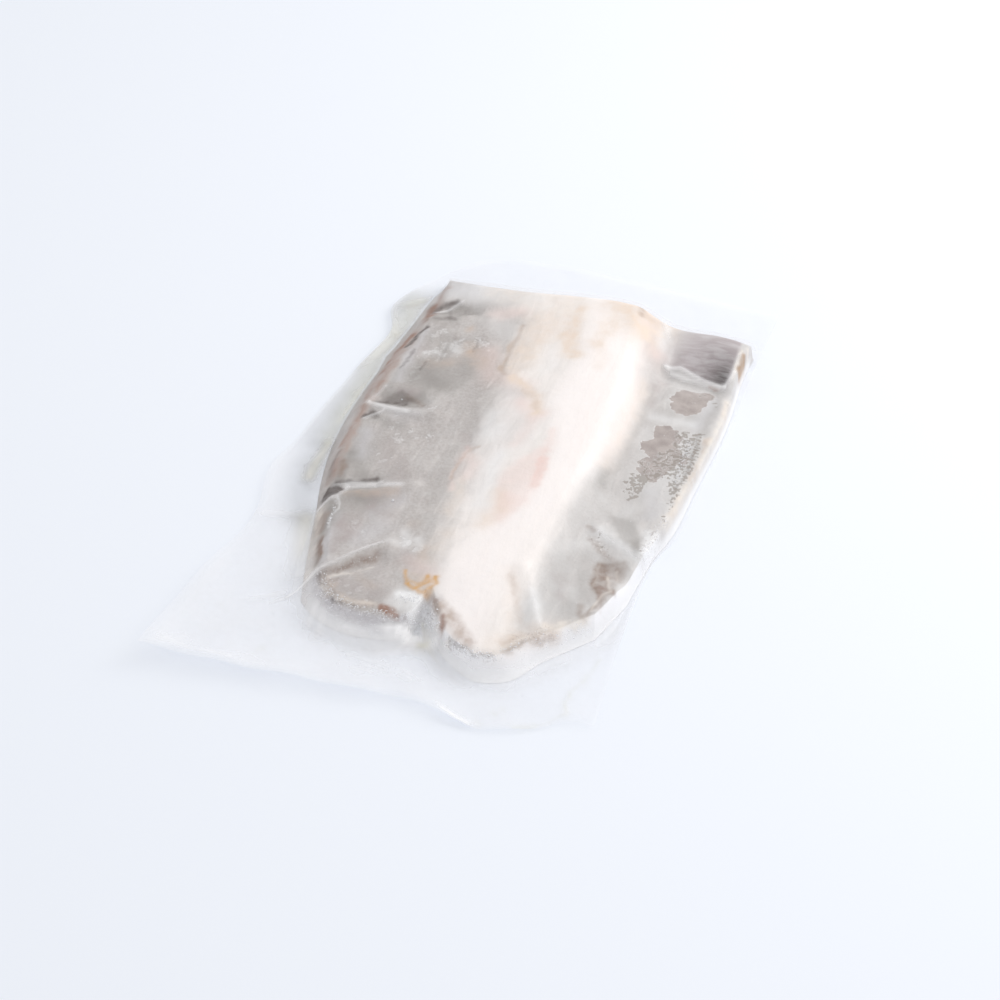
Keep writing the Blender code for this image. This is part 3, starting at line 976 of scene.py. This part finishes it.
mottling = {
    "coarse": mottle(tree, places, 0.016, 0.35, 0.65, 6.0, 0.8),
    "patchy": mottle(tree, places, 0.0045, 0.35, 0.65, 5.0, 0.3),
    "fine": mottle(tree, places, 0.0011, 0.35, 0.65),
    "stranded": mottle(tree, stretched(12, (1, 0.3, 1)), 0.004, 0.35, 0.68, 5.0, 0.8),
    "brushed": mottle(tree, stretched(15, (0.25, 1, 1)), 0.0022, 0.42, 0.66, 4.0, 0.5),
    "flecks": mottle(tree, places, 0.0012, 0.56, 0.62, 2.0),
    "glints": mottle(tree, places, 0.0009, 0.60, 0.66, 2.0),
}
right_flank = layered(tree, RIGHT_FLANK_LIGHT, (RIGHT_FLANK_DARK, mottling["coarse"]))
left_flank = layered(
    tree, LEFT_FLANK_LIGHT,
    (LEFT_FLANK_DARK, mottling["coarse"]),
    (LEFT_FLANK_STAIN, mottling["patchy"], 0.34),
    (FROST_COLOUR, mottling["fine"], 0.05),
)
lining = layered(
    tree, LINING_COLOUR,
    (LINING_SHADE, mottling["coarse"], 0.8),
    (FAT_COLOUR, mottling["stranded"], 0.4),
)
lining_share = stepped(tree, scaled(tree, mottling["stranded"], 0.3, painted(tree, "lining")), 0.12, 1.1)
crust = frayed("crust", 0.0034, 2.2)
colour = layered(
    tree, right_flank,
    (left_flank, painted(tree, "left")),
    (lining, lining_share),
    (layered(tree, FAT_COLOUR, (FAT_WARM, mottling["stranded"], 0.3)), painted(tree, "fat")),
    (VIOLET_FROST, painted(tree, "violet_side")),
    (WHITE_FROST, painted(tree, "white_side")),
    (CRACK_COLOUR, crust["Outline"], 0.35),
    (FROST_COLOUR, crust["Patch"], scaled(tree, mottling["fine"], 0.3, 0.12)),
    (FROST_COLOUR, mottling["fine"], 0.12),
)
for name, (over, grain, depth, crispness, marks) in PIGMENTS.items():
    share = scaled(tree, painted(tree, name), scaled(tree, mottling[grain], -depth, 1.0))
    share = stepped(tree, share, CRISPEST * crispness, 1 - CRISPEST * crispness)
    colour = layered(tree, colour, (over, share))
wet = frayed("wet", 0.0024, 1.45)
lace = frayed("lace", 0.0015, 2.2)
colour = layered(
    tree, colour,
    (FOOT_FROST, painted(tree, "foot")),
    # The rolled corner's mauve tone with its painted shade, then the painted shade of its hollow.
    (CORNER_MAUVE, painted(tree, "corner")),
    (CORNER_SHADE_COLOUR, painted(tree, "corner_shade")),
    (FROST_COLOUR, mottling["brushed"], painted(tree, "corner"), 0.22),
    (layered(tree, WET_COLOUR, (WET_LIGHT, mottling["patchy"])), wet["Patch"]),
    (FROST_COLOUR, wet["Outline"], mottling["fine"], 0.7),
    (LACE_COLOUR, lace["Patch"], 0.75),
    (NET_COLOUR, lace["Outline"], 0.70),
    (FLECK_COLOUR, painted(tree, "speckles"), mottling["flecks"]),
    (GLINT_COLOUR, painted(tree, "speckles"), mottling["glints"]),
)
tree.links.new(colour, shader.inputs["Base Color"])
roughness = scaled(tree, wet["Patch"], WET_ROUGHNESS - DRY_ROUGHNESS, DRY_ROUGHNESS)
tree.links.new(roughness, shader.inputs["Roughness"])
relief = scaled(tree, mottling["fine"], 0.4, mottling["stranded"])
bumped(tree, shader, relief, FLESH_BUMP, FLESH_BUMP_DEPTH)

# The skin underneath, silver with rows of scales.
SKIN_COLOUR = (0.55, 0.56, 0.57, 1)
SCALE_LIGHT = (0.66, 0.67, 0.68, 1)
SCALE_DARK = (0.34, 0.36, 0.38, 1)
SKIN_SHEEN = (0.80, 0.80, 0.81, 1)
SCALE_SIZE, SCALE_RANDOMNESS = 0.0035, 0.35
SCALE_BUMP, SCALE_BUMP_DEPTH = 0.4, 0.0003
SKIN_ROUGHNESS, SKIN_METAL = 0.3, 0.5
skin_material, tree, shader = material_of("silver_skin", SKIN_COLOUR, SKIN_ROUGHNESS)
shader.inputs["Metallic"].default_value = SKIN_METAL
places = add(tree, "ShaderNodeTexCoord", {})["Object"]
scales = add(tree, "ShaderNodeTexVoronoi",
             {"Vector": places, "Scale": 1 / SCALE_SIZE, "Randomness": SCALE_RANDOMNESS})["Distance"]
silver = layered(
    tree, SCALE_LIGHT,
    (SCALE_DARK, stepped(tree, scales, 0.1, 0.75)),
    (SKIN_SHEEN, mottle(tree, places, 0.02, 0.4, 0.75)),
)
tree.links.new(silver, shader.inputs["Base Color"])
bumped(tree, shader, scales, SCALE_BUMP, SCALE_BUMP_DEPTH)

belly = placed("fish_belly", belly_bm, belly_material, skin_material)
x, y = plan_of(belly)
down = strength_of(belly, "down")
fat_soft = FAT_RIGHT_SOFT + FAT_BACK_SOFTER * rise(y, *FAT_BACK_Y)
fat_soft += FAT_FRONT_SOFTER * (1 - rise(y, *FAT_FRONT_Y))
fat = rise(x - border(y, FAT_LEFT), *FAT_LEFT_SOFT)
fat *= 1 - rise((x - border(y, FAT_RIGHT)) / fat_soft, -1, 1)
corner = rise(x, *CORNER_START_X) * (1 - rise(x, *CORNER_END_X))
corner *= rise(y - border(x, CORNER_FOLD), *CORNER_FOLD_SOFT)
deeper = CORNER_DEEPER_RIGHT * (x - CORNER_BACK_LEFT[0]) + CORNER_DEEPER_FRONT * (CORNER_BACK_LEFT[1] - y)
hollow = np.exp(-np.hypot((x - HOLLOW_X) / HOLLOW_WIDTH, (y - HOLLOW_Y) / HOLLOW_LENGTH))
paint(belly, "fat", fat)
# The rolled corner's mauve tone, deepening as painted shade to the right and front, and the painted shade
# of its hollow.
paint(belly, "corner", corner * (CORNER_STRENGTH + deeper))
paint(belly, "corner_shade", HOLLOW_STRENGTH * corner * hollow)
left = (1 - rise(x, *LEFT_END_X)) * (1 - LEFT_FADE * rise(y, *LEFT_FADE_Y))
paint(belly, "left", left)
paint(belly, "lining", rise(x - border(y, LINING_LEFT), *LINING_SOFT) * (1 - rise(x, *LINING_END_X)))
wavy = wavering(x, y, *OUTLINE_SWINGS)
wavy_marks = {name: given[-1] for name, given in PIGMENTS.items()}
wavy_marks.update(wet=WET_MARKS, speckles=SPECKLES, lace=LACE, crust=CRUST)
for name, marks in wavy_marks.items():
    paint(belly, name, marked(*wavy, marks))
paint(belly, "violet_side", marked(x, y, VIOLET_SIDE) * rise(down, *VIOLET_DOWN))
paint(belly, "white_side", marked(x, y, WHITE_SIDE) * rise(down, *WHITE_DOWN))
paint(belly, "foot", FOOT_STRENGTH * rise(down, *FOOT_DOWN) * off_left(x) * (1 - rise(y, *FOOT_END_Y)))
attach(belly, "root")
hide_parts("belly_pouch")

# ---------------------------------------------------------------------------
# The pouch. Two sheets of clear soft film, welded flat round the fish: the
# upper one is drawn down on to it by the vacuum, and the margin is left over.
# ---------------------------------------------------------------------------
FILM_COLUMNS, FILM_ROWS = 180, 250
WALL_ROWS, MARGIN_ROWS, UNDER_ROWS = 9, 28, 6
FILM_SPREAD = 10
SHEET_GAP = 0.3
UNDER_SHEET = 0.12
WAVE_HEIGHT, WAVE_LENGTH, WAVE_SLANT = 0.5, 27, 0.5
PLEAT_HEIGHT = 0.7
# How suddenly the sheets meet at the welded edge, and how soon crinkles start past the foot.
EDGE_POWER = 8
CRINKLE_START = 6

# Where the film stands in a sharp pleat over the fish, and is white along it: milky where it stands off the
# fish, and a painted highlight.
PLEATS = (
    (0.8, 0.6, (-50, 80), (-46, 83), (-41.5, 88.5)),
    (0.8, 0.4, (-52, 27), (-54.4, 20), (-54, 13.2)),
    (1, 0.55, (-54, 13.2), (-44, 12.9), (-38, 13.2)),
    (1.6, 0.3, (-50, 13), (-33, 13.5)),
    (0.7, 0.5, (-53, 5), (-47, 11.5)),
    (0.9, 0.5, (-50, -33.5), (-44, -30.5), (-33, -27)),
    (0.9, 0.55, (-45, -33), (-43.5, -38), (-46, -42.5), (-52, -45.5)),
    (2, 0.3, (-43, -31), (-25, -28)),
    (0.7, 0.6, (-46, -90), (-38.5, -81), (-30, -71.5), (-24, -64), (-20, -60)),
    (0.8, 0.8, *CORNER_FOLD),
    (0.9, 0.5, (53, 72.6), (61, 71.0), (74, 69.4)),
    (0.8, 0.7, (76, 71), (78, 78)),
    (0.7, 0.4, (77.4, 78), (77.6, 87)),
    (1.6, 0.3, (54, -29), (72, -37)),
    (0.9, 0.3, (40, -68), (48, -81)),
    (1.2, 0.3, (43, 98), (50, 84), (51, 74)),
)
# Where the free film of the margin is creased, and how high.
CRINKLES = (
    (1.2, 0.5, (-82, -128), (-66, -131), (-52, -129)),
    (2, 0.3, (-57, -47.5), (-66, -50), (-76, -54)),
    (1.6, 0.4, (-44, -86), (-58, -96)),
    (0.8, 0.25, (-14, -111), (6, -112), (15, -115)),
    (0.8, 0.25, (-7, -114), (12, -116)),
    (0.8, 0.2, (-10, -117), (6, -118)),
    (1.2, 0.5, (25, -124), (31, -127), (40, -129)),
    (1, 0.3, (72, -84), (70, -92), (67, -103), (67, -110), (69, -113), (64, -120), (54, -126)),
    (1.6, 0.5, (-56, 83), (-63, 66), (-70, 42)),
    (1.2, 0.4, (-62, -3), (-66, -20), (-62, -32)),
    (1.6, 0.5, (-58, 96), (-70, 84), (-64, 67)),
    (1, 1.2, (0, -96.5), (3, -95.5), (7, -95)),
    (0.8, 0.5, (-22, -101), (-12, -100), (-2, -97)),
)
# Marks that make the film cloudier or clearer. Some are painted highlights: the white star of crumpled film
# at the notch and the bright line along the front edge.
HAZE_AND_HIGHLIGHT_MARKS = (
    (0.9, 0.42, (52, 74.3), (56, 75), (60, 73.4), (65, 71.6), (60, 71.2), (55, 72.2), (52, 74.3)),
    (6, 0.1, (-60, 92), (-60, 70), (-63, 45), (-62, 0)),
    (5, 0.09, (-70, 93), (-67, 85)),
    (1.6, 0.25, (-33, -95), (-33, -101)),
    (1.5, 0.2, (-29, -97), (-28, -104)),
    (5, 0.22, (-38, -88), (-30, -99), (-8, -103), (4, -99), (8, -92)),
    (5, 0.18, (14, -100), (22, -105), (32, -108), (43, -105), (57, -91), (71, -73), (76, -50), (78, -34)),
    (3.5, -0.07, (-49, 23), (-40, 22)),
    (3, -0.07, (-49, 17), (-38, 17)),
    (3.5, -0.13, (-49, -35), (-50, -41)),
    (3, -0.06, (-54, 66), (-57, 40), (-57, 0), (-55, -26)),
    (2.5, -0.06, (-53, 12), (-50, 6)),
    (3, -0.05, (-47, -48), (-45, -60)),
    (4, -0.04, (60, -46), (62, -56)),
    (2, -0.05, (-51, 83), (-44, 88)),
    (2, -0.05, (-44, -63), (-40, -74)),
    (3, -0.05, (68, 76), (74, 76)),
    (1.1, 0.95, (0, -96.5), (3, -95.5), (7, -95)),
    (2.4, 0.5, (-3, -97.5), (5, -97), (14, -97)),
    (0.6, 0.3, (-22, -101), (-12, -100), (-2, -97)),
    (0.7, 0.55, (27, -126), (33, -128), (38, -129)),
    (2.5, 0.3, (-64, -5), (-64, -26)),
    (4, 0.3, (-56, -48), (-50, -66), (-44, -78)),
    (3, 0.2, (78, -20), (77, -34)),
)
# How cloudy the film is: most at the front left, little at the back and on the right.
FRONT_HAZE, BACK_HAZE, RIGHT_HAZE, FISH_HAZE = 0.21, 0.09, 0.09, 0.075
RIGHT_HAZE_START_X, BACK_HAZE_START_Y = (30, 75), (90, 112)
PLEAT_HAZE_AND_HIGHLIGHT, CRINKLE_HAZE = 0.62, 0.25
# The slope is 0 at the fish's rim, 1 at its foot and 2 at the film's edge. The haze is
# full just past the foot and clears at the edge, and on the left it starts low down.
PAST_FOOT = 1.1
EDGE_CLEAR, EDGE_SLOPE = 0.7, (1.85, 2)
CLEAR_SIDE = 0.85
MARKS_ABOVE = 0.9
TINT_START, TINT_CLEAR = 0.5, 0.4
# Painted shade on the film: on the left, where the film tents from the fish down to the floor in the fish's
# shade, near the front left of the fish, and in two thin dark lines on the left.
FILM_SHADE_MARKS = (
    (7, 0.25, (-46, -80), (-30, -100), (-10, -103)),
    (8, 0.85, (-67, 92), (-65, 70), (-66, 50), (-66, 20), (-66, -4)),
    (7, 0.6, (-66, -20), (-62, -40), (-58, -48)),
    (0.8, 0.5, (-73, 96), (-73, 78)),
    (0.6, 0.5, (-66, -30), (-63, -31)),
)
CREAM_MARKS = (
    (5, 0.6, (-63, 92), (-64, 70), (-66, 45), (-65, 0)),
    (1, 0.6, (-56, 74), (-60, 56), (-64, 30), (-65, 8)),
    (2.2, 0.45, (-64, -5), (-64, -27)),
    (4, 0.45, (-54, -50), (-48, -66)),
    (0.7, 0.8, (72, -84), (71, -92), (67, -103), (67, -110), (69, -113), (64, -120), (54, -126)),
    (1.4, 1, (60, -122.5), (54, -126)),
    (1.2, 0.6, (47, -118)),
    (1.2, 0.6, (45, -121)),
    (1.2, 0.6, (41, -127)),
    (1, 0.6, (66, -108)),
    (1.2, 0.6, (-44, -119)),
    (1.2, 0.4, (-67, -104)),
    (2.2, 0.6, (33, -106), (36, -106)),
    (1.6, 0.9, (9, -98), (12, -96)),
)


def margin_point(ribs, share):
    """The margin's points this share of the way from its foot to its edge, and the underside's height."""
    rims, edges = ribs[:, :2], ribs[:, 3:5]
    lengths = np.hypot(*(edges - rims).T)
    foot = down_side(ribs, 1)
    points = foot + (edges - foot) * share[:, None]
    wave = 1 - np.cos(2 * math.pi * (points[:, 0] + WAVE_SLANT * points[:, 1]) / WAVE_LENGTH)
    room = np.minimum(lengths / WAVE_LENGTH, 1)
    return points, share**2 * np.maximum(0, ribs[:, 5] + WAVE_HEIGHT * wave * room)


def pleated(x, y):
    """The height of the film over the fish, with its pleats."""
    return film_height(x, y) + PLEAT_HEIGHT * marked(x, y, PLEATS)


film_bm = bmesh.new()
slope_layer = film_bm.verts.layers.float.new("slope")
verts, across, along = grid_into(film_bm, FILM_COLUMNS, FILM_ROWS)
spots = inside_rim(across, along)
move_to(verts, np.column_stack([spots, pleated(*spots.T)]))

rows = WALL_ROWS + MARGIN_ROWS
foot_height = UNDER_SHEET + SHEET_GAP
verts, ribs, down = sides_into(film_bm, FILM_COLUMNS, FILM_ROWS, rows, FILM_SPREAD)
wall = np.clip(down * rows / WALL_ROWS, 0, 1)
out = np.clip((down * rows - WALL_ROWS) / MARGIN_ROWS, 0, 1)
margins, underside = margin_point(ribs, out)
crinkled = underside + foot_height - SHEET_GAP * out**EDGE_POWER
crinkled += marked(*margins.T, CRINKLES) * (1 - out**EDGE_POWER) * np.clip(out * CRINKLE_START, 0, 1)
walled = foot_height + (pleated(*ribs[:, :2].T) - foot_height) * side_fall(ribs, wall)
points = np.where((out > 0)[:, None], margins, down_side(ribs, wall))
move_to(verts, np.column_stack([points, np.where(out > 0, crinkled, walled)]))
mark_with(verts, slope_layer, wall + out)

verts, ribs, back = sides_into(film_bm, FILM_COLUMNS, FILM_ROWS, UNDER_ROWS, FILM_SPREAD)
margins, underside = margin_point(ribs, back)
move_to(verts, np.column_stack([margins, underside + UNDER_SHEET]))
mark_with(verts, slope_layer, 1 + back)
close_up(film_bm)
film_shape = BVHTree.FromBMesh(film_bm)

FILM_WHITE = (0.96, 0.955, 0.965, 1)
FILM_SHADE_COLOUR = (0.50, 0.50, 0.50, 1)
FILM_CREAM = (0.84, 0.82, 0.72, 1)
FILM_ROUGHNESS = 0.3
SLANT_BLEND, SLANT_HAZE = 0.25, 0.08
film_material, tree, shader = material_of("clear_film", FILM_WHITE, FILM_ROUGHNESS)
places = add(tree, "ShaderNodeTexCoord", {})["Object"]
cloudy = mottle(tree, places, 0.020, 0.3, 0.7, 2.0)
streaks = mottle(tree, places, 0.009, 0.3, 0.8, 1.5, 0.8)
uneven = scaled(tree, streaks, 0.15, scaled(tree, cloudy, 0.35, 0.74))
veil = scaled(tree, painted(tree, "haze_and_highlights"), uneven)
slant = add(tree, "ShaderNodeLayerWeight", {"Blend": SLANT_BLEND})["Facing"]
veil = scaled(tree, slant, SLANT_HAZE, veil, use_clamp=True)
tree.links.new(veil, shader.inputs["Alpha"])
colour = layered(
    tree, FILM_WHITE,
    # Painted shade on the film, then its cream tint.
    (FILM_SHADE_COLOUR, painted(tree, "film_shade")),
    (FILM_CREAM, painted(tree, "cream")),
)
tree.links.new(colour, shader.inputs["Base Color"])

film = placed("pouch_film", film_bm, film_material)
x, y = plan_of(film)
slope = strength_of(film, "slope")
margin_haze = FRONT_HAZE + (RIGHT_HAZE - FRONT_HAZE) * rise(x, *RIGHT_HAZE_START_X)
margin_haze += (BACK_HAZE - margin_haze) * rise(y, *BACK_HAZE_START_Y)
clear_side = CLEAR_SIDE * (1 - off_left(x))
whole = FISH_HAZE + (margin_haze - FISH_HAZE) * rise(slope, clear_side, PAST_FOOT)
whole *= 1 - EDGE_CLEAR * rise(slope, *EDGE_SLOPE)
# Along the pleats the film is whiter: milky where it stands off the fish, and a painted highlight.
whole += PLEAT_HAZE_AND_HIGHLIGHT * marked(x, y, PLEATS) * (slope <= 1)
whole += CRINKLE_HAZE * marked(x, y, CRINKLES) * (slope > 1)
# The haze marks also hold painted highlights: the white star at the notch and the line along the front
# edge.
paint(film, "haze_and_highlights", whole + marked(x, y, HAZE_AND_HIGHLIGHT_MARKS) * rise(slope, clear_side - MARKS_ABOVE, 1.0))
# The film's painted shade and its cream tint come in past the fish's foot.
tinted = rise(slope, TINT_START + TINT_CLEAR * clear_side, PAST_FOOT)
paint(film, "film_shade", marked(x, y, FILM_SHADE_MARKS) * tinted)
paint(film, "cream", marked(x, y, CREAM_MARKS) * tinted)
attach(film, "root")
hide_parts("belly_pouch")

# ---------------------------------------------------------------------------
# Frost. Grains of ice that grew between the film and the fish, thickest along
# the front lobes, in the notch and beside the right edge.
# ---------------------------------------------------------------------------
ICE_SEED = 11
# A band is (count, spread, smallest and largest radius, points of its path).
ICE_BANDS = (
    (300, 2.4, 0.08, 0.32, (-36, -80), (-28, -91), (-12, -95), (2, -93)),
    (260, 5.5, 0.10, 0.30, (-38, -84), (-26, -97), (-8, -101), (6, -98)),
    (200, 2.4, 0.10, 0.40, (2, -92), (8, -88), (12, -92), (14, -98)),
    (60, 2.6, 0.10, 0.35, (-4, -85), (4, -84)),
    (160, 1.8, 0.12, 0.40, (20, -99), (30, -103), (40, -101)),
    (120, 2.2, 0.10, 0.35, (40, -98), (54, -86), (64, -74)),
    (130, 1.6, 0.12, 0.35, (72, 34), (73, 8)),
    (70, 1.4, 0.12, 0.35, (75, -12), (73, -34)),
    (60, 1.0, 0.12, 0.30, (-45, -42), (-43, -57)),
    (60, 1.3, 0.08, 0.20, (-36, -80), (-20, -66)),
    (220, 9.0, 0.08, 0.25, (-50, -95), (-10, -108), (40, -106), (62, -90)),
    (60, 14.0, 0.08, 0.22, (-35, -40), (-20, 20)),
    (60, 12.0, 0.08, 0.22, (55, -60), (60, 0)),
    (2, 0.1, 0.50, 0.60, (-25, -36), (-25, -36.5)),
    (2, 0.1, 0.35, 0.45, (-44, 23), (-44, 23.5)),
)
ICE_FLOOR = 0.15
ICE_FLATNESS = 0.6
ICE_STRETCH = (0.7, 1.3)
ABOVE_PACK = 0.05
ICE_COLOUR = (0.93, 0.94, 0.97, 1)
ICE_ROUGHNESS, ICE_OPACITY = 0.2, 0.55

random.seed(ICE_SEED)
ice_bm = bmesh.new()
for count, spread, low, high, *path in ICE_BANDS:
    for _ in range(count):
        run = random.randrange(len(path) - 1)
        share = random.random()
        start, end = Vector(path[run]), Vector(path[run + 1])
        spot = start.lerp(end, share) + Vector((random.gauss(0, spread / 2), random.gauss(0, spread / 2)))
        radius = low + (high - low) * random.random() ** 2
        hit = film_shape.ray_cast(Vector((spot.x * MM, spot.y * MM, ABOVE_PACK)), Vector((0, 0, -1)))[0]
        if hit is None:
            continue
        hit.z = max(hit.z - ICE_FLATNESS * radius * MM, (ICE_FLOOR + radius) * MM)
        stretch = Matrix.Diagonal(
            (random.uniform(*ICE_STRETCH), random.uniform(*ICE_STRETCH), ICE_FLATNESS, 1))
        turn = Matrix.Rotation(random.uniform(0, math.tau), 4, "Z")
        bmesh.ops.create_icosphere(ice_bm, subdivisions=1, radius=radius * MM,
                                   matrix=Matrix.Translation(hit) @ turn @ stretch)
ice_material, _, shader = material_of("white_ice", ICE_COLOUR, ICE_ROUGHNESS)
shader.inputs["Alpha"].default_value = ICE_OPACITY
ice = placed("ice_crystals", ice_bm, ice_material)
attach(ice, "root")
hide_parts("belly_pouch")
